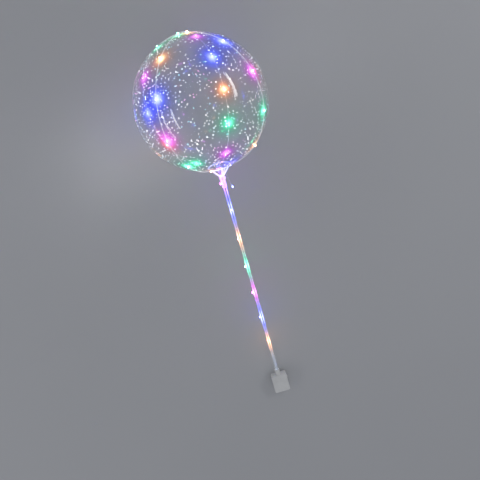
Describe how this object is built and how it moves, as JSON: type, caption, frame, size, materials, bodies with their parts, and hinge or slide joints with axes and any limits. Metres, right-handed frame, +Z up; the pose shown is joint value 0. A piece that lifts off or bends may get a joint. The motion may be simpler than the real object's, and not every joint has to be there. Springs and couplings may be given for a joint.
{
  "type": "clear bubble balloon on a stick",
  "caption": "Clear bubble balloon tied in a ribbed cup on a clear stick, wound with a string of small coloured lights and fed from a plain battery box",
  "frame": {"origin": "middle of the footprint, on the floor, with the balloon lying down on its small flat and the battery box resting on its lower edge", "axes": "+Y runs from the battery box towards the top of the balloon, +Z is up, +X is to the right seen from above with the balloon at the top"},
  "size_m": [0.3496, 1.1354, 0.3481],
  "materials": {
    "clear_film": "clear glossy film",
    "clear_plastic": "clear moulded plastic",
    "clear_tube": "clear extruded plastic",
    "light_wire": "thin silvery lacquered wire",
    "clear_bead": "clear resin drop lit from inside",
    "white_plastic": "satin moulded plastic"
  },
  "bodies": {
    "root": {"balloon": "clear_film", "cup": "clear_plastic", "stick": "clear_tube", "light_string": "light_wire", "battery_box": "white_plastic", "battery_lid": "white_plastic"}
  },
  "joints": []
}
